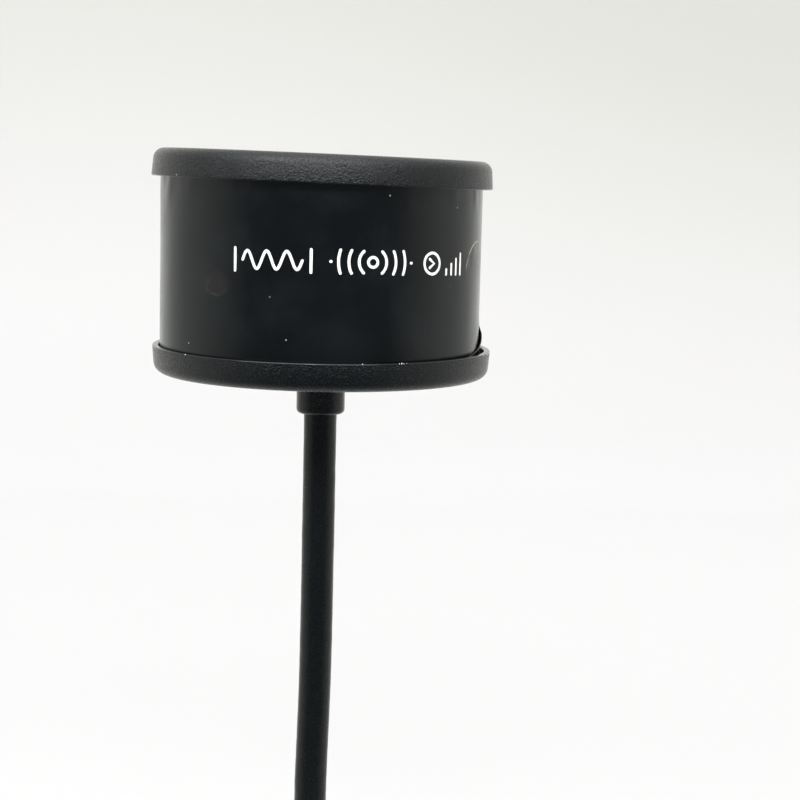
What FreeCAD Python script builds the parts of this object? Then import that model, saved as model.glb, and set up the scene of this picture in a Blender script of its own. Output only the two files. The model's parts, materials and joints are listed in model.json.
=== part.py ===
import FreeCAD, Part

import math
import os

# A circularly polarised omnidirectional antenna on a stiff coaxial mast.
# Units are millimetres. The origin lies on the mast's axis, in the reference plane of the screw-on
# coaxial plug, where the plug meets its jack. +Z runs up the mast to the radome, and -Y is the
# front, where the radome's film carries its print. The film's seam is on the +X side.

# Radome: a tube wrapped in film, closed by two moulded caps
TUBE_DIAMETER = 59.4
TUBE_WALL = 2.0
TUBE_LENGTH = 37.9
TUBE_SHIFT = 0.5
FILM_THICKNESS = 0.2
FILM_END_MARGIN = 1.0
FILM_OVERLAP = 9.0
FILM_SEAM_ANGLE = -1.0
FILM_CORNER_REACH = 7.4
CAP_HEIGHT = 5.15
CAP_FLOOR = 1.2
CAP_RIM_WALL = 1.15
CAP_DRAFT = 4.8
CAP_INNER_DRAFT = 2.0
CAP_EDGE_RADIUS = 1.95
CAP_CLEARANCE = 0.4
TOP_CAP_LEAN = 1.15
TOP_CAP_SHIFT = 0.28

# Grommet that holds the mast in the bottom cap
GROMMET_LENGTH = 7.7
GROMMET_NECK_WALL = 0.8
GROMMET_SHOULDER = 0.66
GROMMET_EDGE_BEVEL = 0.5
GROMMET_HEAD_LIP = 1.5
GROMMET_HEAD_HEIGHT = 2.0
GROMMET_HEAD_BEVEL = 0.9

# Mast: a semi-rigid coaxial line under a thick shrunk sleeve
MAST_LENGTH = 100.0
CONDUCTOR_DIAMETER = 0.92
DIELECTRIC_WALL = 1.03
SHIELD_WALL = 0.3
JACKET_WALL = 0.28
SLEEVE_WALL = 1.05
SLEEVE_TAPER = 1.6
SLEEVE_END_INSIDE = 1.0
JACKET_END_INSIDE = 1.4

# Radiator inside the radome: three round boards on the coaxial line
BOARD_THICKNESS = 1.0
BOARD_CLEARANCE = 0.8
COPPER_THICKNESS = 0.1
LOWER_BOARD_GAP = 1.4
CHOKE_GAP = 6.0
HEADROOM = 3.4
ARM_COUNT = 3
ARM_WIDTH = 3.0
ARM_END_GAP = 35.0
ARM_EDGE_MARGIN = 1.0
SPOKE_WIDTH = 2.4
PAD_MARGIN = 0.4
CENTRE_PAD_MARGIN = 0.75
SPACER_WALL = 1.2
SPACER_CLEARANCE = 0.4
SPACER_RIB = 1.2
SPACER_RIB_LENGTH = 13.0
SOLDER_SPREAD = 1.0
SOLDER_HEIGHT = 1.3
CENTRE_SOLDER_HEIGHT = 0.9
CONDUCTOR_STUB = 0.5

# Screw-on coaxial plug, from its axis outwards
PIN_DIAMETER = 0.91
PIN_REACH = 2.2
PIN_TIP_LENGTH = 0.3
PIN_TIP_DIAMETER = 0.5
PIN_ROOT_WALL = 0.175
PIN_SOCKET_DEPTH = 2.2
INSULATOR_DIAMETER = 4.1
INSULATOR_LENGTH = 5.2
CONTACT_WALL = 0.24
GASKET_SEAT = 2.55
GASKET_THICKNESS = 0.6
GASKET_CLEARANCE = 0.04
GASKET_LAND_FLARE = 0.08
JOURNAL_STEP = 0.36
GROOVE_START = 3.5
GROOVE_WIDTH = 0.65
GROOVE_DEPTH = 0.45
RING_THICKNESS = 0.45
RING_WIDTH = 0.6
RING_GAP_ANGLE = 35.0
RING_CLEARANCE = 0.12
RUNNING_CLEARANCE = 0.06
THREAD_STEP = 0.13
NUT_ACROSS_FLATS = 8.0
NUT_MOUTH = 2.9
NUT_LENGTH = 8.0
NUT_MOUTH_BEVEL = 0.35
NUT_CORNER_BEVEL = 0.45
NUT_CORNER_BEVEL_ANGLE = 30.0
FLANGE_STEP = 0.55
FLANGE_GAP = 0.2
FLANGE_THICKNESS = 1.0
BARREL_WALL = 0.61
BARREL_LENGTH = 4.0
BARREL_BARE = 1.0

# Radii that follow from the sizes above
conductor_radius = CONDUCTOR_DIAMETER / 2
dielectric_radius = conductor_radius + DIELECTRIC_WALL
shield_radius = dielectric_radius + SHIELD_WALL
jacket_radius = shield_radius + JACKET_WALL
sleeve_radius = jacket_radius + SLEEVE_WALL
grommet_neck_radius = sleeve_radius + GROMMET_NECK_WALL
grommet_radius = grommet_neck_radius + GROMMET_SHOULDER
grommet_head_radius = grommet_neck_radius + GROMMET_HEAD_LIP
tube_radius = TUBE_DIAMETER / 2
tube_bore_radius = tube_radius - TUBE_WALL
film_radius = tube_radius + FILM_THICKNESS
lap_radius = film_radius + FILM_THICKNESS
cap_bore_radius = lap_radius + CAP_CLEARANCE
board_radius = tube_bore_radius - BOARD_CLEARANCE
arm_outer_radius = board_radius - ARM_EDGE_MARGIN
arm_inner_radius = arm_outer_radius - ARM_WIDTH
spacer_bore_radius = shield_radius + SOLDER_SPREAD + SPACER_CLEARANCE
spacer_radius = spacer_bore_radius + SPACER_WALL
shield_pad_radius = spacer_radius + PAD_MARGIN
centre_pad_radius = conductor_radius + SOLDER_SPREAD + CENTRE_PAD_MARGIN
pin_radius = PIN_DIAMETER / 2
pin_root_radius = max(pin_radius, conductor_radius) + PIN_ROOT_WALL
insulator_radius = INSULATOR_DIAMETER / 2
contact_radius = insulator_radius + CONTACT_WALL
gasket_land_radius = contact_radius + GASKET_LAND_FLARE
journal_radius = contact_radius + JOURNAL_STEP
groove_floor_radius = journal_radius - GROOVE_DEPTH
nut_lip_radius = journal_radius + RUNNING_CLEARANCE
nut_bore_radius = nut_lip_radius + THREAD_STEP
ring_inner_radius = groove_floor_radius + RING_CLEARANCE
ring_outer_radius = ring_inner_radius + RING_WIDTH
nut_groove_radius = ring_outer_radius + RING_CLEARANCE
flange_radius = journal_radius + FLANGE_STEP
barrel_radius = shield_radius + BARREL_WALL

# Heights that follow from the sizes above
nut_top = NUT_LENGTH - NUT_MOUTH
flange_start = nut_top + FLANGE_GAP
barrel_start = flange_start + FLANGE_THICKNESS
gasket_start = GASKET_SEAT - GASKET_THICKNESS
barrel_end = barrel_start + BARREL_LENGTH
sleeve_start = barrel_start + BARREL_BARE
pin_socket_floor = INSULATOR_LENGTH - PIN_SOCKET_DEPTH
grommet_start = barrel_end + MAST_LENGTH
head_start = grommet_start + GROMMET_LENGTH
cap_floor_z = head_start + CAP_FLOOR
tube_top_z = cap_floor_z + TUBE_LENGTH
grommet_head_top = cap_floor_z + GROMMET_HEAD_HEIGHT
sleeve_end = grommet_head_top + SLEEVE_END_INSIDE
jacket_end = sleeve_end + JACKET_END_INSIDE
lower_board_z = jacket_end + LOWER_BOARD_GAP
lower_copper_z = lower_board_z + BOARD_THICKNESS
lower_copper_top = lower_copper_z + COPPER_THICKNESS
middle_board_z = lower_copper_top + CHOKE_GAP
middle_copper_z = middle_board_z + BOARD_THICKNESS
middle_copper_top = middle_copper_z + COPPER_THICKNESS
upper_copper_top = tube_top_z - HEADROOM
upper_copper_z = upper_copper_top - COPPER_THICKNESS
upper_board_z = upper_copper_z - BOARD_THICKNESS
shield_end = middle_copper_top + SOLDER_HEIGHT
conductor_end = upper_copper_top + CENTRE_SOLDER_HEIGHT + CONDUCTOR_STUB

ORIGIN = FreeCAD.Vector(0, 0, 0)
UP = FreeCAD.Vector(0, 0, 1)
ANTICLOCKWISE = 1
CLOCKWISE = -1


def section_point(radius, height):
    return FreeCAD.Vector(radius, 0, height)


def turned(corners):
    """One solid turned about the Z axis. Each corner is (radius, height) or (radius, height, rounding)."""
    count = len(corners)
    points = [section_point(corner[0], corner[1]) for corner in corners]
    roundings = [corner[2] if len(corner) > 2 else 0.0 for corner in corners]
    starts, middles, ends = [], [], []
    for i in range(count):
        here = points[i]
        back = (points[i - 1] - here).normalize()
        ahead = (points[(i + 1) % count] - here).normalize()
        half_angle = back.getAngle(ahead) / 2
        setback = roundings[i] / math.tan(half_angle)
        to_arc = roundings[i] / math.sin(half_angle) - roundings[i]
        starts.append(here + back * setback)
        middles.append(here + (back + ahead).normalize() * to_arc)
        ends.append(here + ahead * setback)
    edges = []
    for i in range(count):
        if roundings[i] > 0:
            edges.append(Part.Arc(starts[i], middles[i], ends[i]).toShape())
        edges.append(Part.LineSegment(ends[i], starts[(i + 1) % count]).toShape())
    return Part.Face(Part.Wire(edges)).revolve(ORIGIN, UP, 360)


def pipe(outer_radius, inner_radius, bottom, top):
    return turned([(inner_radius, bottom), (outer_radius, bottom), (outer_radius, top), (inner_radius, top)])


def ring_sector(outer_radius, inner_radius, bottom, top, start_angle, span):
    """A piece of a ring, from start_angle through span degrees, anticlockwise from above."""
    corners = [(inner_radius, bottom), (outer_radius, bottom), (outer_radius, top), (inner_radius, top)]
    points = [section_point(radius, height) for radius, height in corners]
    sector = Part.Face(Part.makePolygon(points + points[:1])).revolve(ORIGIN, UP, span)
    sector.rotate(ORIGIN, UP, start_angle)
    return sector


def radial_bar(width, start_radius, end_radius, bottom, top, angle):
    """A straight bar that runs outwards from the axis at an angle."""
    corner = FreeCAD.Vector(start_radius, -width / 2, bottom)
    bar = Part.makeBox(end_radius - start_radius, width, top - bottom, corner)
    bar.rotate(ORIGIN, UP, angle)
    return bar


def joined(first, *others):
    return first.fuse(list(others)).removeSplitter()


def arm_angles():
    return [i * 360.0 / ARM_COUNT for i in range(ARM_COUNT)]


# Moulded cap, one form for both ends: a drafted cup with a rounded outer edge
def cap_cup(hole_radius=0.0):
    """The cup stands mouth up, with the flat outside of its floor at zero height."""
    skirt = CAP_HEIGHT - CAP_FLOOR
    mouth_radius = cap_bore_radius + skirt * math.tan(math.radians(CAP_INNER_DRAFT))
    rim_radius = mouth_radius + CAP_RIM_WALL
    foot_radius = rim_radius - CAP_HEIGHT * math.tan(math.radians(CAP_DRAFT))
    return turned(
        [
            (hole_radius, 0),
            (foot_radius, 0, CAP_EDGE_RADIUS),
            (rim_radius, CAP_HEIGHT),
            (mouth_radius, CAP_HEIGHT),
            (cap_bore_radius, CAP_FLOOR),
            (hole_radius, CAP_FLOOR),
        ]
    )


def bottom_cap():
    cap = cap_cup(grommet_neck_radius)
    cap.translate(UP * head_start)
    return cap


def top_cap():
    """The cap sits hard on the tube's rim at the seam side and a little proud at the other side."""
    cap = cap_cup()
    cap.rotate(ORIGIN, FreeCAD.Vector(1, 0, 0), 180)
    cap.translate(section_point(-TOP_CAP_SHIFT, tube_top_z + CAP_FLOOR))
    cap.rotate(section_point(tube_radius - TUBE_SHIFT, tube_top_z), FreeCAD.Vector(0, 1, 0), TOP_CAP_LEAN)
    return cap


def radome_tube():
    """The tube has play in the caps and stands over to the side away from the film's seam."""
    tube = pipe(tube_radius, tube_bore_radius, cap_floor_z, tube_top_z)
    tube.translate(section_point(-TUBE_SHIFT, 0))
    return tube


# Film: one sheet rolled round the tube, its free end lapped over its start
def printed_film():
    """The lap comes round from the back, and its lower corner spreads forwards past the seam."""
    bottom = cap_floor_z + FILM_END_MARGIN
    top = tube_top_z - FILM_END_MARGIN
    lap_span = math.degrees(FILM_OVERLAP / film_radius)
    corner_span = math.degrees(FILM_CORNER_REACH / film_radius)
    wrap = pipe(film_radius, tube_radius, bottom, top)
    lap = ring_sector(lap_radius, film_radius, bottom, top, FILM_SEAM_ANGLE, lap_span)
    band_top = bottom + FILM_CORNER_REACH
    band_start = FILM_SEAM_ANGLE - corner_span
    band = ring_sector(lap_radius, film_radius, bottom, band_top, band_start, corner_span)
    disc_centre = section_point(tube_bore_radius, bottom)
    disc = Part.makeCylinder(FILM_CORNER_REACH, lap_radius, disc_centre, FreeCAD.Vector(1, 0, 0))
    disc.rotate(ORIGIN, UP, FILM_SEAM_ANGLE)
    film = joined(wrap, lap, band.common(disc))
    film.translate(section_point(-TUBE_SHIFT, 0))
    return film


# Grommet snapped into the bottom cap's hole, gripping the mast
def mast_grommet():
    return turned(
        [
            (sleeve_radius, grommet_start),
            (grommet_radius - GROMMET_EDGE_BEVEL, grommet_start),
            (grommet_radius, grommet_start + GROMMET_EDGE_BEVEL),
            (grommet_radius, head_start),
            (grommet_neck_radius, head_start),
            (grommet_neck_radius, cap_floor_z),
            (grommet_head_radius, cap_floor_z),
            (grommet_head_radius, grommet_head_top - GROMMET_HEAD_BEVEL),
            (grommet_head_radius - GROMMET_HEAD_BEVEL, grommet_head_top),
            (sleeve_radius, grommet_head_top),
        ]
    )


# Mast layers, from the outside in
def mast_sleeve():
    """The shrunk sleeve swells where it runs down over the plug's barrel."""
    return turned(
        [
            (barrel_radius, sleeve_start),
            (barrel_radius + SLEEVE_WALL, sleeve_start),
            (barrel_radius + SLEEVE_WALL, barrel_end, SLEEVE_WALL),
            (sleeve_radius, barrel_end + SLEEVE_TAPER, SLEEVE_WALL),
            (sleeve_radius, sleeve_end),
            (jacket_radius, sleeve_end),
            (jacket_radius, barrel_end),
            (barrel_radius, barrel_end),
        ]
    )


def coax_jacket():
    return pipe(jacket_radius, shield_radius, barrel_end, jacket_end)


def coax_shield():
    return pipe(shield_radius, dielectric_radius, INSULATOR_LENGTH, shield_end)


def coax_dielectric():
    return pipe(dielectric_radius, conductor_radius, INSULATOR_LENGTH, upper_board_z)


def coax_conductor():
    length = conductor_end - pin_socket_floor
    return Part.makeCylinder(conductor_radius, length, UP * pin_socket_floor)


# Boards and their copper
def board(bottom, hole_radius):
    return pipe(board_radius, hole_radius, bottom, bottom + BOARD_THICKNESS)


def pad_and_spokes(bottom, hole_radius, pad_radius):
    top = bottom + COPPER_THICKNESS
    spoke_start = (hole_radius + pad_radius) / 2
    spoke_end = (arm_inner_radius + arm_outer_radius) / 2
    spokes = [radial_bar(SPOKE_WIDTH, spoke_start, spoke_end, bottom, top, angle) for angle in arm_angles()]
    return joined(pipe(pad_radius, hole_radius, bottom, top), *spokes)


def arms_copper(bottom, hole_radius, pad_radius, direction):
    """Spokes from a centre pad, each bent at the board's edge into an arc. direction is the way
    that the arcs run from their spokes, seen from above."""
    top = bottom + COPPER_THICKNESS
    span = 360.0 / ARM_COUNT - ARM_END_GAP
    lead = math.degrees(SPOKE_WIDTH / 2 / arm_outer_radius)
    arcs = []
    for angle in arm_angles():
        start = angle - lead if direction == ANTICLOCKWISE else angle + lead - span
        arcs.append(ring_sector(arm_outer_radius, arm_inner_radius, bottom, top, start, span))
    return joined(pad_and_spokes(bottom, hole_radius, pad_radius), *arcs)


def ring_copper(bottom, hole_radius, pad_radius):
    """A closed ring at the board's edge, tied to the centre pad by spokes."""
    ring = pipe(arm_outer_radius, arm_inner_radius, bottom, bottom + COPPER_THICKNESS)
    return joined(pad_and_spokes(bottom, hole_radius, pad_radius), ring)


def spacer(bottom, top):
    """A tube with flat ribs, which stands on one board's pad and carries the next board."""
    rib_start = (spacer_bore_radius + spacer_radius) / 2
    rib_end = spacer_radius + SPACER_RIB_LENGTH
    half_pitch = 180.0 / ARM_COUNT
    ribs = [
        radial_bar(SPACER_RIB, rib_start, rib_end, bottom, top, angle + half_pitch) for angle in arm_angles()
    ]
    return joined(pipe(spacer_radius, spacer_bore_radius, bottom, top), *ribs)


def shield_solder(foot):
    """The cone of solder that ties the shield to a board's pad."""
    toe = (shield_radius + SOLDER_SPREAD, foot)
    return turned([(shield_radius, foot), toe, (shield_radius, foot + SOLDER_HEIGHT)])


def centre_solder():
    """The bead of solder round the end of the centre conductor."""
    foot = upper_copper_top
    return turned(
        [
            (conductor_radius, foot),
            (conductor_radius + SOLDER_SPREAD, foot),
            (conductor_radius + SOLDER_SPREAD / 2, foot + CENTRE_SOLDER_HEIGHT * 2 / 3),
            (conductor_radius, foot + CENTRE_SOLDER_HEIGHT),
        ]
    )


# Plug
def plug_body():
    """Outer contact, flared land that holds the gasket, journal with the ring's groove, flange and
    solder barrel."""
    groove_end = GROOVE_START + GROOVE_WIDTH
    return turned(
        [
            (insulator_radius, 0),
            (contact_radius, 0),
            (contact_radius, gasket_start),
            (gasket_land_radius, GASKET_SEAT),
            (journal_radius, GASKET_SEAT),
            (journal_radius, GROOVE_START),
            (groove_floor_radius, GROOVE_START),
            (groove_floor_radius, groove_end),
            (journal_radius, groove_end),
            (journal_radius, flange_start),
            (flange_radius, flange_start),
            (flange_radius, barrel_start),
            (barrel_radius, barrel_start),
            (barrel_radius, barrel_end),
            (shield_radius, barrel_end),
            (shield_radius, INSULATOR_LENGTH),
            (insulator_radius, INSULATOR_LENGTH),
        ]
    )


def plug_insulator():
    return pipe(insulator_radius, pin_root_radius, 0, INSULATOR_LENGTH)


def contact_pin():
    """The pin stands in front of the insulator, and its hollow root holds the centre conductor."""
    return turned(
        [
            (0, -PIN_REACH),
            (PIN_TIP_DIAMETER / 2, -PIN_REACH),
            (pin_radius, PIN_TIP_LENGTH - PIN_REACH),
            (pin_radius, 0),
            (pin_root_radius, 0),
            (pin_root_radius, INSULATOR_LENGTH),
            (conductor_radius, INSULATOR_LENGTH),
            (conductor_radius, pin_socket_floor),
            (0, pin_socket_floor),
        ]
    )


def plug_gasket():
    inner = gasket_land_radius + GASKET_CLEARANCE
    outer = nut_bore_radius - GASKET_CLEARANCE
    return pipe(outer, inner, gasket_start, GASKET_SEAT)


def retaining_ring():
    bottom = GROOVE_START + (GROOVE_WIDTH - RING_THICKNESS) / 2
    top = bottom + RING_THICKNESS
    span = 360 - RING_GAP_ANGLE
    return ring_sector(ring_outer_radius, ring_inner_radius, bottom, top, RING_GAP_ANGLE / 2, span)


def hexagonal_bar(across_flats, bottom, top):
    corner = section_point(across_flats / math.sqrt(3), bottom)
    corners = [FreeCAD.Rotation(UP, 60 * i).multVec(corner) for i in range(6)]
    return Part.Face(Part.makePolygon(corners + corners[:1])).extrude(UP * (top - bottom))


def coupling_nut():
    """A hexagon with bevelled corners, bored for the thread, the ring and the journal."""
    mouth = -NUT_MOUTH
    corner_radius = NUT_ACROSS_FLATS / math.sqrt(3)
    bevel_radius = corner_radius - NUT_CORNER_BEVEL
    bevel_drop = NUT_CORNER_BEVEL * math.tan(math.radians(NUT_CORNER_BEVEL_ANGLE))
    groove_end = GROOVE_START + GROOVE_WIDTH
    envelope = turned(
        [
            (0, mouth),
            (bevel_radius, mouth),
            (corner_radius, mouth + bevel_drop),
            (corner_radius, nut_top - bevel_drop),
            (bevel_radius, nut_top),
            (0, nut_top),
        ]
    )
    hollow = turned(
        [
            (0, mouth),
            (nut_bore_radius + NUT_MOUTH_BEVEL, mouth),
            (nut_bore_radius, mouth + NUT_MOUTH_BEVEL),
            (nut_bore_radius, GROOVE_START),
            (nut_groove_radius, GROOVE_START),
            (nut_groove_radius, groove_end),
            (nut_lip_radius, groove_end),
            (nut_lip_radius, nut_top),
            (0, nut_top),
        ]
    )
    return hexagonal_bar(NUT_ACROSS_FLATS, mouth, nut_top).common(envelope).cut(hollow)


pieces = {
    "top_cap": top_cap(),
    "radome_tube": radome_tube(),
    "printed_film": printed_film(),
    "bottom_cap": bottom_cap(),
    "mast_grommet": mast_grommet(),
    "mast_sleeve": mast_sleeve(),
    "coax_jacket": coax_jacket(),
    "coax_shield": coax_shield(),
    "coax_dielectric": coax_dielectric(),
    "coax_conductor": coax_conductor(),
    "lower_board": board(lower_board_z, shield_radius),
    "lower_ring_copper": ring_copper(lower_copper_z, shield_radius, shield_pad_radius),
    "lower_solder": shield_solder(lower_copper_top),
    "lower_spacer": spacer(lower_copper_top, middle_board_z),
    "middle_board": board(middle_board_z, shield_radius),
    "middle_arms_copper": arms_copper(middle_copper_z, shield_radius, shield_pad_radius, CLOCKWISE),
    "middle_solder": shield_solder(middle_copper_top),
    "upper_spacer": spacer(middle_copper_top, upper_board_z),
    "upper_board": board(upper_board_z, conductor_radius),
    "upper_arms_copper": arms_copper(upper_copper_z, conductor_radius, centre_pad_radius, ANTICLOCKWISE),
    "centre_solder": centre_solder(),
    "plug_body": plug_body(),
    "plug_insulator": plug_insulator(),
    "contact_pin": contact_pin(),
    "plug_gasket": plug_gasket(),
    "retaining_ring": retaining_ring(),
    "coupling_nut": coupling_nut(),
}

os.makedirs("parts", exist_ok=True)
for name, shape in pieces.items():
    shape.exportStep(os.path.join("parts", name + ".step"))
    print(name, "valid" if shape.isValid() else "INVALID", len(shape.Solids), round(shape.Volume, 3), "mm3")
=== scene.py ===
import json
import math
import random

import bmesh
import bpy
from bpy.props import FloatProperty, FloatVectorProperty, PointerProperty
from mathutils import Matrix, Vector, noise

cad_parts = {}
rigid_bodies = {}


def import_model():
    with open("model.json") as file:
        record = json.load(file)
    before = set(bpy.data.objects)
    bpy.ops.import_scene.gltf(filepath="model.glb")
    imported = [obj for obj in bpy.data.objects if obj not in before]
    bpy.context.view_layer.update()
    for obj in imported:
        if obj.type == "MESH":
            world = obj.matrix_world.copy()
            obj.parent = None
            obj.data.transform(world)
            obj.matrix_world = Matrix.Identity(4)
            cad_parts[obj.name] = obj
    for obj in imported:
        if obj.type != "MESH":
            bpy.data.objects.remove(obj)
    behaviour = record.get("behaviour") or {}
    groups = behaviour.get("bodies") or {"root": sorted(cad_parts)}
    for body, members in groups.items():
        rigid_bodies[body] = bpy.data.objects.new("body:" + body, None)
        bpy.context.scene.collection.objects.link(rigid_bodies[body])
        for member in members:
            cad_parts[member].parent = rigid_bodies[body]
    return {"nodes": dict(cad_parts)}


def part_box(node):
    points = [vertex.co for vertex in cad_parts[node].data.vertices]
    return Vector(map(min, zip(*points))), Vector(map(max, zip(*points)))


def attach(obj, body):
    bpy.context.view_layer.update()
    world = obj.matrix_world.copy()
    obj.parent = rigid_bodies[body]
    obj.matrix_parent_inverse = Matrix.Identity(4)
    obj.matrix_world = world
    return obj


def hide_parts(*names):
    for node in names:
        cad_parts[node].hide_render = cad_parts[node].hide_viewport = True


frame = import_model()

bl_info = {
    "name": "Antenna on a Coaxial Mast",
    "version": (1, 0, 0),
    "blender": (4, 5, 0),
    "location": "3D View > Sidebar > Antenna",
    "description": "Builds a round capped antenna on a stiff coaxial mast with a screw-on plug",
    "category": "Object",
}

for leftover in [thing for thing in bpy.data.objects if thing.name in ("Cube", "Light", "Camera")]:
    bpy.data.objects.remove(leftover)

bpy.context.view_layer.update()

MM = 0.001
AXIS = Vector((0, 0, 1))
ANTENNA = "antenna"
NUT = "nut"
TURN_STEPS = 192
MAST_STEPS = 72
PLUG_STEPS = 96
ROUNDING_STEPS = 6
# Points that lie nearer to each other than this are one point
MERGE = 1e-7

# Places and radii that come from the packed solids, in metres
cap_low, cap_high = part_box("bottom_cap")
tube_low, tube_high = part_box("radome_tube")
film_low, film_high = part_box("printed_film")
grommet_low, grommet_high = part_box("mast_grommet")
sleeve_low, sleeve_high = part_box("mast_sleeve")
jacket_low, jacket_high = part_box("coax_jacket")
conductor_low, conductor_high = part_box("coax_conductor")
pin_low, pin_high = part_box("contact_pin")
gasket_low, gasket_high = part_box("plug_gasket")
nut_low, nut_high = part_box("coupling_nut")
shield_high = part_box("coax_shield")[1]
body_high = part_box("plug_body")[1]
insulator_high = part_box("plug_insulator")[1]
tube_radius = (tube_high.x - tube_low.x) / 2
# The film's roll lies a little off the tube's axis
film_centre = Vector(((tube_high.x + tube_low.x) / 2 + 0.08 * MM, 0, 0))


def length(name, description, default):
    return FloatProperty(name=name, description=description, default=default, unit="LENGTH", precision=5)


def angle(name, description, degrees):
    return FloatProperty(
        name=name, description=description, default=math.radians(degrees), subtype="ANGLE", unit="ROTATION"
    )


def colour(name, description, default):
    return FloatVectorProperty(name=name, description=description, default=default, subtype="COLOR", size=3)


def level(name, description, default):
    return FloatProperty(name=name, description=description, default=default, min=0.0)


class HeadSizes(bpy.types.PropertyGroup):
    """Sizes of the round head: two caps and the film round the tube"""

    rim_radius: length("Rim radius", "Radius of a cap at its mouth", cap_high.x)
    cap_height: length("Cap height", "Height of a cap from its face to its mouth", cap_high.z - cap_low.z)
    cap_floor: length("Cap floor", "Thickness of a cap's face", tube_low.z - cap_low.z)
    rim_wall: length("Rim wall", "Thickness of a cap's skirt at its mouth", 1.15 * MM)
    draft: angle("Draft", "Slope of a cap's side", 4.8)
    inner_draft: angle("Inner draft", "Slope of the skirt's inside", 2.0)
    edge_radius: length("Edge radius", "Rounding between a cap's face and side", 1.95 * MM)
    lip_radius: length("Lip radius", "Rounding of the skirt's two lips", 0.25 * MM)
    lean: angle("Lean", "How far the top cap leans off the tube's rim", 1.15)
    shift: length("Shift", "How far the top cap is pushed over from the seam side", 0.28 * MM)
    film_thickness: length("Film thickness", "Thickness of the film round the tube", 0.2 * MM)
    film_slack: length("Film slack", "How far the film lies off the tube", 0.1 * MM)
    seam_angle: angle("Seam angle", "Place of the film's free edge round the tube", -1.0)
    lap_angle: angle("Lap angle", "How far the film's end covers its start", 17.2)


class MastSizes(bpy.types.PropertyGroup):
    """Sizes of the mast's sleeve and of the grommet that holds it"""

    sleeve_wall: length("Sleeve wall", "Thickness of the shrunk sleeve", 1.05 * MM)
    collar_radius: length("Collar radius", "Radius of the grommet under the cap", 4.58 * MM)
    collar_rounding: length("Collar rounding", "Rounding of the grommet's lower edge", 0.85 * MM)
    neck_radius: length("Neck radius", "Radius of the grommet in the cap's hole", 3.92 * MM)
    sleeve_ripple: length("Sleeve ripple", "How much the sleeve's surface rises and falls", 0.035 * MM)
    bow: length("Bow", "How far the sleeve bends off its line", 0.6 * MM)
    bow_height: length("Bow height", "Height of the bend above the plug's face", 34 * MM)
    bow_reach: length("Bow reach", "Length over which the bend fades", 18 * MM)


class PlugSizes(bpy.types.PropertyGroup):
    """Sizes of the screw-on plug"""

    across_flats: length("Across flats", "Width of the nut for its spanner", nut_high.y - nut_low.y)
    thread_pitch: length("Thread pitch", "Advance of the thread in one turn", 0.7056 * MM)
    thread_depth: length("Thread depth", "Height of the thread's ridge", 0.33 * MM)
    edge: length("Edge", "Rounding of the plug's turned edges", 0.06 * MM)


class FinishColours(bpy.types.PropertyGroup):
    """Colours of the object's finishes"""

    cap: colour("Caps", "Moulded caps", (0.0017, 0.0029, 0.0038))
    film: colour("Film", "Film round the tube", (0.0020, 0.0030, 0.0038))
    touch: colour("Touch", "Thumb mark on the film", (0.0095, 0.0072, 0.0095))
    # Painted highlight: a pale colour laid along the film's crease and the lower rim of its thumb mark,
    # where they catch the light
    painted_highlight: colour("Highlight", "Creased skin of the film", (0.42, 0.41, 0.34))
    ink: colour("Ink", "Printed marks", (0.86, 0.86, 0.85))
    grommet: colour("Grommet", "Rubber grommet", (0.0024, 0.0032, 0.0040))
    sleeve: colour("Sleeve", "Shrunk sleeve of the mast", (0.0018, 0.0028, 0.0036))
    gold: colour("Gold", "Plating of the plug", (0.91, 0.66, 0.30))
    copper: colour("Copper", "Copper of the boards", (0.78, 0.40, 0.24))
    laminate: colour("Laminate", "Glass laminate of the boards", (0.60, 0.58, 0.36))
    dust: colour("Dust", "Flecks of dust", (0.72, 0.72, 0.70))


class StudioSettings(bpy.types.PropertyGroup):
    """Camera, lamps and backdrop"""

    lens: FloatProperty(name="Lens", description="Focal length", default=78.914, subtype="DISTANCE_CAMERA")
    eye: FloatVectorProperty(
        name="Eye", description="Place of the camera", default=(0.01401, -0.33028, 0.15592), unit="LENGTH"
    )
    pitch: angle("Pitch", "How far the camera looks down", 7.384)
    roll: angle("Roll", "How far the camera is turned about its view", 1.408)
    key_power: level("Key power", "Power of the wide lamp above the camera, in watts", 9.2)
    fill_power: level("Fill power", "Power of the soft box overhead, in watts", 2.2)
    spark_power: level("Spark power", "Power of the small lamp above the camera, in watts", 0.8)
    wall_distance: length("Wall distance", "Distance of the backdrop behind the object", 0.526)


GROUPS = {
    "antenna_head": HeadSizes,
    "antenna_mast": MastSizes,
    "antenna_plug": PlugSizes,
    "antenna_colours": FinishColours,
    "antenna_studio": StudioSettings,
}


# Shader expressions


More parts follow.
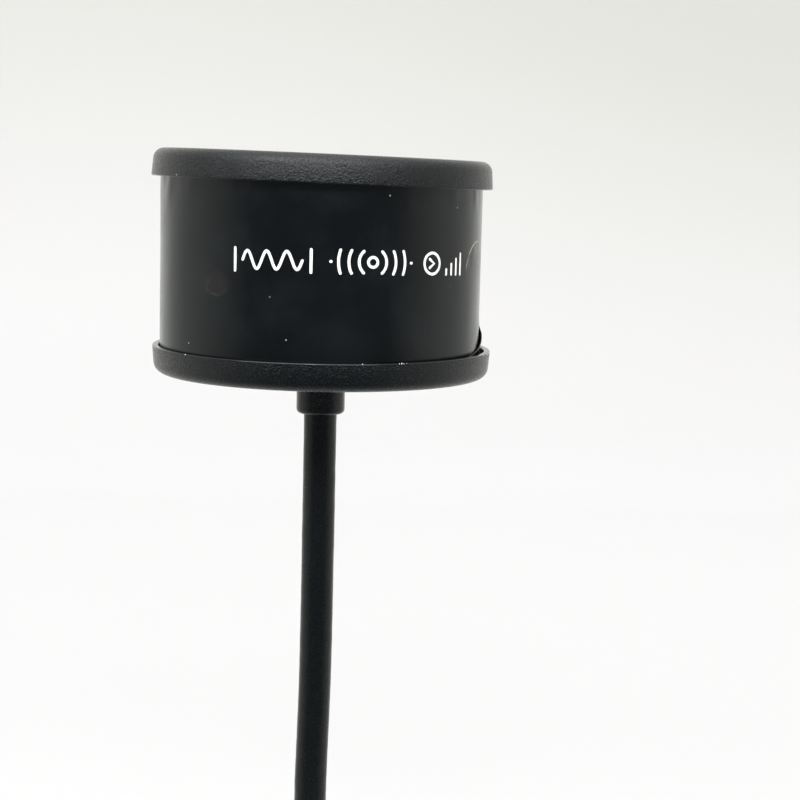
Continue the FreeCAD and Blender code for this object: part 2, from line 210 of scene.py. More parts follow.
class Wire:
    """A socket in a node tree. Arithmetic on wires adds the Math nodes that it needs."""

    def __init__(self, tree, socket=None):
        self.tree = tree
        self.socket = socket

    def node(self, kind, settings=None, inputs=None, output=0):
        """Adds a node, sets its settings, then the values or links of its sockets."""
        made = self.tree.nodes.new("ShaderNode" + kind)
        for key, value in (settings or {}).items():
            if key == "stops":
                first, last = made.color_ramp.elements
                (first.position, first.color), (last.position, last.color) = value[0], value[-1]
                for position, shade in value[1:-1]:
                    made.color_ramp.elements.new(position).color = shade
            else:
                setattr(made, key, value)
        for key, value in (inputs or {}).items():
            if isinstance(value, Wire):
                self.tree.links.new(value.socket, made.inputs[key])
            else:
                made.inputs[key].default_value = value
        return Wire(self.tree, made.outputs[output])

    def math(self, operation, *values):
        return self.node("Math", {"operation": operation}, dict(enumerate(values)))

    def __add__(self, other):
        return self.math("ADD", self, other)

    def __sub__(self, other):
        return self.math("SUBTRACT", self, other)

    def __rsub__(self, other):
        return self.math("SUBTRACT", other, self)

    def __mul__(self, other):
        return self.math("MULTIPLY", self, other)

    def __truediv__(self, other):
        return self.math("DIVIDE", self, other)

    def __pow__(self, other):
        return self.math("POWER", self, other)

    def between(self, low, high, start=0.0, end=1.0):
        """Runs smoothly from start to end while this value goes from low to high."""
        settings = {"interpolation_type": "SMOOTHSTEP"}
        limits = {"From Min": low, "From Max": high, "To Min": start, "To Max": end}
        return self.node("MapRange", settings, {"Value": self, **limits})

    def ring(self, radius, core, reach):
        """1 where this distance is the radius, give or take the core, and 0 beyond the reach."""
        inside = self.between(radius - reach, radius - core)
        return inside * self.between(radius + core, radius + reach, 1.0, 0.0)

    def mixed(self, first, second):
        """A colour that goes from the first to the second as this value goes from 0 to 1."""
        return self.node("Mix", {"data_type": "RGBA"}, {0: self, 6: first, 7: second}, 2)

    def shaded(self, shade, first, second):
        """The shade, times the first factor where this value is 0 and the second where it is 1."""
        return self.mixed(rgba(shade, first), rgba(shade, second))

    def place(self, stretch=(1.0, 1.0, 1.0)):
        """The object's own coordinates, stretched."""
        place = self.node("TexCoord", output="Object")
        return self.node("Mapping", inputs={"Vector": place, "Scale": stretch})

    def part(self, axis):
        """One coordinate of this place: 0 for X, 1 for Y, 2 for Z."""
        return self.node("SeparateXYZ", inputs={0: self}, output=axis)

    def grain(self, size, detail=2.0, rough=0.5, stretch=(1.0, 1.0, 1.0)):
        """Noise from 0 to 1, whose features are about this size."""
        inputs = {"Vector": self.place(stretch), "Scale": 1 / size, "Detail": detail, "Roughness": rough}
        return self.node("TexNoise", inputs=inputs)

    def cells(self, size):
        """Distance from the centres of cells of about this size."""
        return self.node("TexVoronoi", inputs={"Vector": self.place(), "Scale": 1 / size})

    def distance(self, spot, tall=1.0):
        """Distance from a place on the object, where a height counts this much more."""
        inputs = {0: self.place((1.0, 1.0, tall)), 1: (spot.x, spot.y, spot.z * tall)}
        return self.node("VectorMath", {"operation": "DISTANCE"}, inputs, 1)

    def bump(self, height, depth):
        """A normal for a height from 0 to 1 that stands this deep."""
        return self.node("Bump", inputs={"Height": height, "Distance": depth})

    def ends_in(self, kind):
        """Leads this shader into an output of its tree."""
        output = self.tree.nodes.new("ShaderNode" + kind)
        self.tree.links.new(self.socket, output.inputs[0])


def rgba(shade, factor=1.0):
    """A node's colour, made from a shade of three parts."""
    return (*[min(1.0, part * factor) for part in shade], 1.0)


def new_material(name, **constants):
    """A material, with constants on its shader's own sockets, and a wire into its tree."""
    made = bpy.data.materials.new(name)
    made.use_nodes = True
    shader = made.node_tree.nodes["Principled BSDF"]
    for key, value in constants.items():
        shader.inputs[key.replace("_", " ")].default_value = value
    return made, Wire(made.node_tree)


def paint(made, shade, roughness, normal):
    """Leads the wires into the material's shader."""
    shader = made.node_tree.nodes["Principled BSDF"]
    for key, wire in {"Base Color": shade, "Roughness": roughness, "Normal": normal}.items():
        made.node_tree.links.new(wire.socket, shader.inputs[key])
    return made


def cap_plastic(shades, name, roughness, depth):
    """Moulded black plastic with a fine spark-eroded grain."""
    made, wire = new_material(name, Specular_IOR_Level=0.5)
    grain = wire.grain(0.24 * MM, 3.0, 0.6)
    pits = wire.cells(0.28 * MM)
    return paint(
        made,
        wire.grain(6 * MM).between(0.3, 0.7).shaded(shades.cap, 0.88, 1.12),
        grain.between(0.3, 0.75, roughness, roughness + 0.12),
        wire.bump(grain * 0.7 + pits * 0.45, depth),
    )


# A thumb mark and a round crease on the film, with painted highlights on the crease and on the mark's rim:
# degrees round the tube, height above the bottom cap's face
THUMB_MARK = (-124.6, 18.1 * MM)
THUMB_RADIUS = 2.8 * MM
CREASE = (-15.7, 20.0 * MM)
CREASE_RADIUS = 5.8 * MM
# The painted highlight on the thumb mark's rim shows below its heights, the painted highlight on the crease
# above its own and left of its degrees
RIM_HEIGHTS = (16.8 * MM, 17.8 * MM)
CREASE_HEIGHTS = (20.4 * MM, 22.2 * MM)
CREASE_DEGREES = (-10, -6)


def film_plastic(shades):
    """Smooth black film, a little uneven and handled, with a painted highlight along a crease and along the
    lower rim of a thumb mark.
    """
    made, wire = new_material("film_plastic", Specular_IOR_Level=0.55)
    waves = wire.grain(3.2 * MM)
    skin = wire.grain(0.4 * MM)
    smears = wire.grain(9 * MM, 4.0, 0.6)
    broken = wire.grain(1.2 * MM, 3.0).between(0.42, 0.58)
    thumb = wire.distance(on_film(*THUMB_MARK), 1.4) + (wire.grain(2.4 * MM) - 0.5) * (2.6 * MM)
    touched = thumb.between(THUMB_RADIUS - 0.4 * MM, THUMB_RADIUS + 0.3 * MM, 1.0, 0.0)
    # Painted highlight along the lower rim of the thumb mark
    rim = thumb.ring(THUMB_RADIUS, 0.0, 0.6 * MM)
    # Painted highlight along the upper front part of the crease's ring
    crease = wire.distance(on_film(*CREASE)).ring(CREASE_RADIUS, 0.05 * MM, 0.28 * MM)
    near, high = wire.place().part(1), wire.place().part(2)
    crease *= near.between(*[on_film(degrees, 0).y for degrees in CREASE_DEGREES], 1.0, 0.0)
    crease *= high.between(*[cap_low.z + height for height in CREASE_HEIGHTS])
    rim *= high.between(*[cap_low.z + height for height in RIM_HEIGHTS], 1.0, 0.0)
    # Both painted highlights, broken up, lighten the film's colour towards the highlight shade
    pale = crease * broken.between(0.0, 1.0, 0.15, 0.65) + rim * broken * 0.03
    shade = smears.between(0.35, 0.7).shaded(shades.film, 0.8, 1.5)
    shade = (touched * 0.55).mixed(shade, rgba(shades.touch))
    return paint(
        made,
        pale.mixed(shade, rgba(shades.painted_highlight)),
        smears.between(0.3, 0.75, 0.15, 0.25) + touched * 0.04 + pale * 0.3,
        wire.bump(waves + skin * 0.10, 0.022 * MM),
    )


def print_ink(shades):
    """White ink, a little thin in places."""
    made, wire = new_material("print_ink")
    cover = wire.grain(0.22 * MM, 3.0)
    return paint(
        made,
        cover.between(0.25, 0.45).shaded(shades.ink, 0.8, 1.0),
        cover.between(0.3, 0.7, 0.5, 0.62),
        wire.bump(cover, 0.006 * MM),
    )


def rubber(name, shade, roughness, grain_size, depth):
    """Satin rubber or soft plastic with a moulded skin."""
    made, wire = new_material(name)
    skin = wire.grain(grain_size, 3.0)
    return paint(
        made,
        wire.grain(3 * MM, 3.0).between(0.3, 0.75).shaded(shade, 0.85, 1.3),
        skin.between(0.3, 0.7, roughness - 0.05, roughness + 0.07),
        wire.bump(skin, depth),
    )


def sleeve_plastic(shades):
    """Shrunk sleeve: a fine mottle, with the braid below just telling through."""
    made, wire = new_material("sleeve_plastic", Specular_IOR_Level=0.45)
    mottle = wire.grain(0.42 * MM, 3.0, 0.6)
    braid = wire.grain(1.1 * MM, 1.0, 0.4, (1.0, 1.0, 0.7))
    scuffs = wire.grain(1.6 * MM, 5.0, 0.65, (1.0, 1.0, 0.35))
    return paint(
        made,
        scuffs.between(0.62, 0.8).shaded(shades.sleeve, 1.0, 3.2),
        mottle.between(0.3, 0.7, 0.26, 0.36),
        wire.bump(mottle * 0.5 + braid * 0.8, 0.05 * MM),
    )


def metal(name, shade, roughness, grain_size=0.25 * MM, depth=0.002 * MM, tarnish=0.8):
    """Bare or plated metal with turning marks too fine to count and a little tarnish."""
    made, wire = new_material(name, Metallic=1.0)
    marks = wire.grain(grain_size, 3.0, 0.6, (1.0, 1.0, 3.0))
    return paint(
        made,
        wire.grain(1.8 * MM, 3.0).between(0.35, 0.75).shaded(shade, 1.0, tarnish),
        marks.between(0.25, 0.75, roughness - 0.06, roughness + 0.09),
        wire.bump(marks, depth),
    )


def plain_plastic(name, shade, roughness, mottle=0.12):
    """Natural or dyed plastic with a faint cloud in its colour."""
    made, wire = new_material(name)
    cloud = wire.grain(1.4 * MM, 3.0)
    return paint(
        made,
        cloud.between(0.3, 0.7).shaded(shade, 1 - mottle, 1.0),
        cloud.between(0.3, 0.7, roughness, roughness + 0.08),
        wire.bump(wire.grain(0.3 * MM), 0.004 * MM),
    )


def glass_laminate(shades):
    """Glass laminate whose weave shows through the resin."""
    made, wire = new_material("glass_laminate")
    threads = []
    for axis in "XY":
        bands = {"wave_type": "BANDS", "bands_direction": axis}
        inputs = {"Vector": wire.place(), "Scale": 330.0, "Distortion": 0.6}
        threads.append(wire.node("TexWave", bands, inputs))
    weave = threads[0] * threads[1]
    return paint(
        made,
        weave.shaded(shades.laminate, 0.82, 1.0),
        weave.between(0.0, 1.0, 0.42, 0.32),
        wire.bump(weave, 0.004 * MM),
    )


# Shapes


def outwards(degrees):
    """The level direction that lies this far round the Z axis."""
    return Vector((math.cos(math.radians(degrees)), math.sin(math.radians(degrees)), 0))


def on_film(degrees, height, radius=tube_radius):
    """A place on the film's roll, by degrees round it and height above the bottom cap's face."""
    return film_centre + outwards(degrees) * radius + AXIS * (cap_low.z + height)


def turned(corners, steps=TURN_STEPS):
    """A shape turned about the Z axis. Each corner is (radius, height, rounding)."""
    bm = bmesh.new()
    vertices = [bm.verts.new((radius, 0, height)) for radius, height, rounding in corners]
    bm.faces.new(vertices)
    count = len(corners)
    points = [Vector(corner[:2]) for corner in corners]
    for i, (radius, height, rounding) in enumerate(corners):
        if rounding > 0:
            turn = (points[i - 1] - points[i]).angle(points[(i + 1) % count] - points[i])
            bmesh.ops.bevel(
                bm, geom=[vertices[i]], offset=rounding / math.tan(turn / 2), segments=ROUNDING_STEPS,
                affect="VERTICES", profile=0.5, material=-1,
            )
    bmesh.ops.delete(bm, geom=bm.faces[:], context="FACES_ONLY")
    on_axis = [edge for edge in bm.edges if max(abs(vertex.co.x) for vertex in edge.verts) < MERGE]
    bmesh.ops.delete(bm, geom=on_axis, context="EDGES")
    bmesh.ops.spin(
        bm, geom=bm.verts[:] + bm.edges[:], cent=(0, 0, 0), axis=AXIS, angle=2 * math.pi, steps=steps,
        use_merge=True,
    )
    bmesh.ops.remove_doubles(bm, verts=bm.verts[:], dist=MERGE)
    bmesh.ops.recalc_face_normals(bm, faces=bm.faces[:])
    return bm


def add_object(bm, name, materials):
    """Turns the mesh into a smooth object of the scene."""
    mesh = bpy.data.meshes.new(name)
    bm.to_mesh(mesh)
    bm.free()
    mesh.shade_smooth()
    for material in materials:
        mesh.materials.append(material)
    made = bpy.data.objects.new(name, mesh)
    bpy.context.scene.collection.objects.link(made)
    return made


def add_piece(bm, name, materials, nodes=(), body=ANTENNA, crease=32.0, closed=True):
    """Makes the mesh a piece that rides on a body and stands for the CAD nodes."""
    if closed and any(not edge.is_manifold for edge in bm.edges):
        raise RuntimeError(name + " isn't a closed shape")
    piece = add_object(bm, name, materials)
    piece.data.set_sharp_from_angle(angle=math.radians(crease))
    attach(piece, body)
    if nodes:
        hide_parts(*nodes)
    return piece


def smooth_step(value, low, high):
    """Goes smoothly from 0 to 1 while the value goes from low to high."""
    share = min(1.0, max(0.0, (value - low) / (high - low)))
    return share * share * (3 - 2 * share)


# Caps

GATE_RADIUS = 2.4 * MM
GATE_DEPTH = 0.25 * MM
GATE_STUB_RADIUS = 0.6 * MM


def cap_body(head, middle):
    """A cap that lies on its face, with its polished lip marked for the second material."""
    mouth = head.rim_radius - head.rim_wall
    bore = mouth - (head.cap_height - head.cap_floor) * math.tan(head.inner_draft)
    foot = head.rim_radius - head.cap_height * math.tan(head.draft)
    side = [
        (foot, 0, head.edge_radius),
        (head.rim_radius, head.cap_height, head.lip_radius),
        (mouth, head.cap_height, head.lip_radius),
        (bore, head.cap_floor, head.lip_radius),
    ]
    bm = turned(side + middle)
    for face in bm.faces:
        if face.calc_center_median().z > head.cap_height - head.lip_radius:
            face.material_index = 1
    return bm


class ANTENNA_OT_caps(bpy.types.Operator):
    """Build the two moulded caps"""

    bl_idname = "antenna.caps"
    bl_label = "Caps"

    def execute(self, context):
        head = context.scene.antenna_head
        shades = context.scene.antenna_colours
        neck = context.scene.antenna_mast.neck_radius
        finishes = [
            cap_plastic(shades, "cap_plastic", 0.20, 0.13 * MM),
            cap_plastic(shades, "cap_lip", 0.12, 0.012 * MM),
        ]
        hole = [(neck, head.cap_floor, 0), (neck, 0, head.lip_radius)]
        bottom = cap_body(head, hole)
        bmesh.ops.translate(bottom, verts=bottom.verts[:], vec=AXIS * cap_low.z)
        add_piece(bottom, "bottom_cap_shell", finishes, ["bottom_cap"])
        gate = [
            (0, head.cap_floor, 0),
            (0, GATE_DEPTH / 2, 0),
            (GATE_STUB_RADIUS, GATE_DEPTH / 2, GATE_DEPTH / 3),
            (GATE_STUB_RADIUS, GATE_DEPTH, 0),
            (GATE_RADIUS, GATE_DEPTH, GATE_DEPTH / 2),
            (GATE_RADIUS + GATE_DEPTH, 0, GATE_DEPTH / 2),
        ]
        top = cap_body(head, gate)
        pivot = Matrix.Translation((tube_high.x, 0, tube_high.z))
        lean = pivot @ Matrix.Rotation(head.lean, 4, "Y") @ pivot.inverted()
        over = Matrix.Translation((-head.shift, 0, tube_high.z + head.cap_floor))
        over @= Matrix.Rotation(math.pi, 4, "X")
        bmesh.ops.transform(top, matrix=lean @ over, verts=top.verts[:])
        add_piece(top, "top_cap_shell", finishes, ["top_cap"])
        return {"FINISHED"}


# Film

# The film's columns: close ones behind its cut edge, over these degrees, then the rest
EDGE_COLUMNS = 24
EDGE_REACH = 6.0
WRAP_COLUMNS = 470
# Rows up to each height, closest together round the free corner
ROW_BANDS = [(4.5 * MM, 5), (11.5 * MM, 30)]
TOP_ROWS = 36
# Degrees over which the film climbs onto its own end, and the share of its thickness that it fills
CLIMB = 3.0
SKIN_SHARE = 0.94
# The film's cut edge, from its free corner up: degrees round the tube, millimetres above the cap's face
CUT_EDGE = [
    (-36.0, 3.4), (-30.0, 4.4), (-25.5, 4.7), (-22.0, 4.9), (-18.5, 5.2),
    (-14.5, 5.55), (-10.5, 6.0), (-7.5, 6.6), (-3.8, 7.3), (-0.8, 8.0),
    (1.6, 8.8), (3.2, 9.9), (4.3, 11.6), (5.0, 15.0), (5.5, 39.2),
]
# The free corner: how far it stands off and curls, and the heights where it starts and ends
CORNER_LIFT = 0.42 * MM
CORNER_CURL = 1.6 * MM
LIFT_START = (4.2 * MM, 7.2 * MM)
LIFT_END = (8.0 * MM, 9.7 * MM)
# Faint waves: their size, and their depth in millimetres
WAVES = [(11 * MM, 0.030), (4.5 * MM, 0.010)]
# Wrinkles that the top cap presses into the film, and the heights where they grow
WRINKLE_SIZE = 3.4 * MM
WRINKLE_DEPTH = 0.16
WRINKLE_START = (29.5 * MM, 35.5 * MM)
# The lap's middle, and how far from it the waves and dents start, in degrees
LAP_MIDDLE = 8
LAP_REACH = (14, 26)
# Dents in the film: degrees round the tube, millimetres above the cap's face, width, height, depth
DENTS = [
    (-124.4, 18.1, 1.1, 1.1, -0.05),
    (-19.8, 24.3, 1.2, 0.7, 0.07),
    (-23.4, 22.3, 0.7, 0.8, -0.05),
    (-37.5, 17.6, 1.6, 1.2, -0.03),
]
MM_PER_DEGREE = 30 / 57.3


def cut_edge(value, known, wanted):
    """Reads one coordinate of the film's cut edge from the other."""
    for start, end in zip(CUT_EDGE, CUT_EDGE[1:]):
        if value <= end[known]:
            share = max(0.0, (value - start[known]) / (end[known] - start[known]))
            return start[wanted] + (end[wanted] - start[wanted]) * share
    return CUT_EDGE[-1][wanted]


def corner_lift(degrees, height):
    """How far the film's free corner stands off the layer below."""
    across = math.radians(degrees - cut_edge(height / MM, 1, 0)) * tube_radius
    up = cut_edge(degrees, 0, 1) * MM - height
    inwards = across * up / math.hypot(across, up) if across * up > 0 else 0.0
    loose = smooth_step(height, *LIFT_START) * (1 - smooth_step(height, *LIFT_END))
    return CORNER_LIFT * loose * (1 - smooth_step(inwards, 0, CORNER_CURL))


def film_heights(bottom, top):
    """The heights of the film's rows, closest together round the free corner."""
    heights = [bottom]
    for end, rows in [*ROW_BANDS, (top, TOP_ROWS)]:
        start = heights[-1]
        heights += [start + (end - start) * (i + 1) / rows for i in range(rows)]
    return heights


def half_turn(degrees):
    """The same turn, from -180 to 180 degrees."""
    return (degrees + 180) % 360 - 180


def film_relief(degrees, height):
    """How far the film stands off its true roll at an angle and a height above the bottom cap's face."""
    spot = outwards(degrees) * tube_radius + AXIS * height
    relief = sum(noise.noise(spot / size) * depth for size, depth in WAVES)
    squeeze = Vector((spot.x, spot.y, height * 0.45)) / WRINKLE_SIZE
    wrinkle = max(0.0, noise.noise(squeeze) + 0.12) * WRINKLE_DEPTH
    relief += wrinkle * smooth_step(height, *WRINKLE_START)
    for angle_at, height_at, width, tall, depth in DENTS:
        across = half_turn(degrees - angle_at) * MM_PER_DEGREE / width
        up = (height / MM - height_at) / tall
        relief += depth * math.exp(-(across * across + up * up))
    return relief * smooth_step(abs(half_turn(degrees) - LAP_MIDDLE), *LAP_REACH) * MM


class ANTENNA_OT_film(bpy.types.Operator):
    """Build the film rolled round the tube, with its lap and free corner"""

    bl_idname = "antenna.film"
    bl_label = "Film"

    def execute(self, context):
        head = context.scene.antenna_head
        thickness = head.film_thickness
        end = math.degrees(head.seam_angle + head.lap_angle)
        heights = film_heights(film_low.z - cap_low.z, film_high.z - cap_low.z)
        bm = bmesh.new()
        columns = EDGE_COLUMNS + WRAP_COLUMNS
        rows = len(heights) - 1
        bmesh.ops.create_grid(bm, x_segments=columns, y_segments=rows, size=0.5)
        for vertex in bm.verts:
            column = round((vertex.co.x + 0.5) * columns)
            height = heights[round((vertex.co.y + 0.5) * rows)]
            degrees = cut_edge(height / MM, 1, 0) + EDGE_REACH * min(1.0, column / EDGE_COLUMNS)
            degrees += (end + 360 - degrees) * max(0.0, (column - EDGE_COLUMNS) / WRAP_COLUMNS)
            over = 1 - smooth_step(degrees, end, end + CLIMB)
            radius = tube_radius + head.film_slack + thickness * (0.5 + over) + film_relief(degrees, height)
            if degrees < end:
                radius += corner_lift(degrees, height)
            vertex.co = on_film(degrees, height, radius)
        finish = film_plastic(context.scene.antenna_colours)
        piece = add_piece(bm, "film_wrap", [finish], ["printed_film"], closed=False)
        skin = piece.modifiers.new("thickness", "SOLIDIFY")
        skin.thickness = thickness * SKIN_SHARE
        skin.offset = 0.0
        return {"FINISHED"}


# Printed marks

STROKE = 0.25 * MM
INK_HEIGHT = 0.022 * MM
INK_FLATNESS = 0.08
# A stroke's round end, from its tip: how far out it stands, and its width
STROKE_END = ((1.0, 0.05), (0.85, 0.53), (0.5, 0.87), (0.0, 1.0))
MARKS_HEIGHT = 22.6 * MM
# How the row's ends hang lower, by the distance along the film squared, in metres
MARKS_SAG = 0.68
ARC_STEPS = 28
WAVE_STEPS = 72


def arc(centre, radius, start, end):
    """Points along an arc, in millimetres and degrees."""
    points = []
    for i in range(ARC_STEPS + 1):
        turn = math.radians(start + (end - start) * i / ARC_STEPS)
        points.append((centre[0] + radius * math.cos(turn), centre[1] + radius * math.sin(turn)))
    return points


def wave_mark():
    """A sine wave between two posts."""
    shares = [i / WAVE_STEPS for i in range(WAVE_STEPS + 1)]
    wave = [(-5.4 + 10.8 * share, 1.55 * math.sin(6 * math.pi * share)) for share in shares]
    return [[(-6.9, -1.95), (-6.9, 1.95)], wave, [(6.9, -1.95), (6.9, 1.95)]]


def source_mark():
    """A ring with arcs that spread to both sides."""
    strokes = [arc((0, 0), 0.85, 0, 360)]
    for radius, half in ((2.5, 48), (4.3, 27), (6.1, 19)):
        strokes.append(arc((0, 0), radius, -half, half))
        strokes.append(arc((0, 0), radius, 180 - half, 180 + half))
    return strokes + [[(-7.45, 0), (-7.35, 0)], [(7.35, 0), (7.45, 0)]]


def turn_mark():
    """A ring with a chevron that points round, beside four bars of growing height."""
    strokes = [arc((-2.95, 0), 1.85, 0, 360), [(-3.55, -0.75), (-2.5, 0), (-3.55, 0.75)]]
    for i in range(4):
        strokes.append([(0.75 + 1.45 * i, -1.85), (0.75 + 1.45 * i, -1.0 + 0.95 * i)])
    return strokes


class ANTENNA_OT_print(bpy.types.Operator):
    """Print the row of plain marks on the film"""

    bl_idname = "antenna.print"
    bl_label = "Printed marks"

    def execute(self, context):
        head = context.scene.antenna_head
        surface = tube_radius + head.film_slack + head.film_thickness
        # Each mark's centre along the film from the front line, in millimetres
        marks = [(-7.3, wave_mark()), (10.4, source_mark()), (25.5, turn_mark())]
        line = bpy.data.curves.new("ink_lines", "CURVE")
        line.dimensions = "3D"
        line.bevel_depth = STROKE
        line.bevel_resolution = 2
        line.use_fill_caps = True
        for centre, strokes in marks:
            for stroke in strokes:
                path = [Vector((x + centre, 0, y)) * MM for x, y in stroke]
                lead = (path[0] - path[1]).normalized() * STROKE
                tail = (path[-1] - path[-2]).normalized() * STROKE
                points = [(path[0] + lead * out, width) for out, width in STROKE_END]
                points += [(point, 1.0) for point in path[1:-1]]
                points += [(path[-1] + tail * out, width) for out, width in reversed(STROKE_END)]
                spline = line.splines.new("POLY")
                spline.points.add(len(points) - 1)
                for target, (point, width) in zip(spline.points, points):
                    target.co = (*point, 1.0)
                    target.radius = width
        carrier = bpy.data.objects.new("ink_lines", line)
        context.scene.collection.objects.link(carrier)
        mesh = bpy.data.meshes.new_from_object(carrier.evaluated_get(context.evaluated_depsgraph_get()))
        bpy.data.objects.remove(carrier)
        bm = bmesh.new()
        bm.from_mesh(mesh)
        bpy.data.meshes.remove(mesh)
        bmesh.ops.remove_doubles(bm, verts=bm.verts[:], dist=MERGE)
        for vertex in bm.verts:
            along, depth, up = vertex.co
            degrees = math.degrees(along / surface) - 90
            height = MARKS_HEIGHT + up - MARKS_SAG * along * along
            radius = surface + film_relief(degrees, height) + INK_HEIGHT / 2 - depth * INK_FLATNESS
            vertex.co = on_film(degrees, height, radius)
        bmesh.ops.recalc_face_normals(bm, faces=bm.faces[:])
        add_piece(bm, "printed_marks", [print_ink(context.scene.antenna_colours)])
        return {"FINISHED"}


# Mast


class ANTENNA_OT_grommet(bpy.types.Operator):
    """Build the rubber grommet that holds the mast"""

    bl_idname = "antenna.grommet"
    bl_label = "Grommet"

    def execute(self, context):
        mast = context.scene.antenna_mast
        bore = jacket_high.x + mast.sleeve_wall
        foot = grommet_low.z
        floor = tube_low.z
        corners = [
            (bore, foot, 0),
            (mast.collar_radius, foot, mast.collar_rounding),
            (mast.collar_radius, cap_low.z, 0.1 * MM),
            (mast.neck_radius, cap_low.z, 0),
            (mast.neck_radius, floor, 0),
            (grommet_high.x, floor, 0.2 * MM),
            (grommet_high.x, grommet_high.z, 0.9 * MM),
            (bore, grommet_high.z, 0.2 * MM),
        ]
        shade = context.scene.antenna_colours.grommet
        finish = rubber("grommet_rubber", shade, 0.25, 0.35 * MM, 0.008 * MM)
        bm = turned(corners, PLUG_STEPS)
        add_piece(bm, "grommet_shell", [finish], ["mast_grommet"])
        return {"FINISHED"}


SLEEVE_ROWS = 240
SLEEVE_TAPER = 1.6 * MM
SLEEVE_LIP = 0.3 * MM
# The sleeve's ripple: size and strength, and the lengths over which it fades at the two ends
RIPPLES = [(2.6 * MM, 1.0), (7 * MM, 0.7)]
RIPPLE_MEAN = 0.6
RIPPLE_FADES = (3 * MM, 2 * MM)
# Heights between which the bow starts
BOW_START = (8 * MM, 26 * MM)


class ANTENNA_OT_mast(bpy.types.Operator):
    """Build the shrunk sleeve of the mast"""

    bl_idname = "antenna.mast"
    bl_label = "Mast"

    def execute(self, context):
        mast = context.scene.antenna_mast
        slim = jacket_high.x + mast.sleeve_wall
        barrel = sleeve_high.x - mast.sleeve_wall
        barrel_end = jacket_low.z
        bottom, top = sleeve_low.z, sleeve_high.z
        corners = [
            (barrel, bottom, 0),
            (sleeve_high.x, bottom, SLEEVE_LIP),
            (sleeve_high.x, barrel_end, mast.sleeve_wall),
            (slim, barrel_end + SLEEVE_TAPER, mast.sleeve_wall),
            (slim, top, SLEEVE_LIP),
            (jacket_high.x, top, 0),
            (jacket_high.x, barrel_end, 0),
            (barrel, barrel_end, 0),
        ]
        bm = turned(corners, MAST_STEPS)
        skin = slim * 0.98
        pitch = (grommet_low.z - barrel_end - SLEEVE_TAPER) / SLEEVE_ROWS
        for i in range(2, SLEEVE_ROWS - 1):
            cut = AXIS * (barrel_end + SLEEVE_TAPER + pitch * i)
            outside = [face for face in bm.faces if face.calc_center_median().xy.length > skin]
            edges = {edge for face in outside for edge in face.edges}
            verts = {vertex for face in outside for vertex in face.verts}
            bmesh.ops.bisect_plane(
                bm, geom=[*verts, *edges, *outside], plane_co=cut, plane_no=AXIS, dist=MERGE
            )
        for vertex in bm.verts:
            across, height = vertex.co.xy.length, vertex.co.z
            if across > skin:
                whole = smooth_step(height, bottom, bottom + RIPPLE_FADES[0])
                whole *= 1 - smooth_step(height, grommet_low.z - RIPPLE_FADES[1], grommet_low.z)
                ripple = sum(noise.noise(vertex.co / size) * strength for size, strength in RIPPLES)
                growth = mast.sleeve_ripple * (ripple - RIPPLE_MEAN) * whole / across
                bend = (height - mast.bow_height) / mast.bow_reach
                vertex.co.x *= 1 + growth
                vertex.co.y *= 1 + growth
                vertex.co.x -= mast.bow * math.exp(-bend * bend) * smooth_step(height, *BOW_START)
        finish = sleeve_plastic(context.scene.antenna_colours)
        add_piece(bm, "sleeve_skin", [finish], ["mast_sleeve"])
        return {"FINISHED"}


# Plug

CONTACT_RADIUS = 2.29 * MM
PIN_RADIUS = 0.455 * MM
JOURNAL_RADIUS = 2.65 * MM
FLANGE_GAP = 0.2 * MM
FLANGE_HEIGHT = 1.0 * MM
# The retaining ring's heights, and its grooves in the journal and the nut
GROOVE_LOW, GROOVE_HIGH = 3.5 * MM, 4.15 * MM
JOURNAL_GROOVE = 2.2 * MM
NUT_GROOVE = 3.04 * MM
NUT_LIP = 2.71 * MM
NUT_CHAMFER = 0.45 * MM
NUT_SLOPE = math.tan(math.radians(30))
NUT_MERGE = 1e-6
THREAD_CREST = 2.84 * MM
# The corners of the thread's ridge, as shares of the pitch
RIDGE_SHARES = (0.06, 0.42, 0.55, 0.92)


def hexagon_reach(turn, across_flats):
    """Distance from the axis to a hexagon's side, with corners on the X axis."""
    return across_flats / 2 / math.cos((turn % (math.pi / 3)) - math.pi / 6)


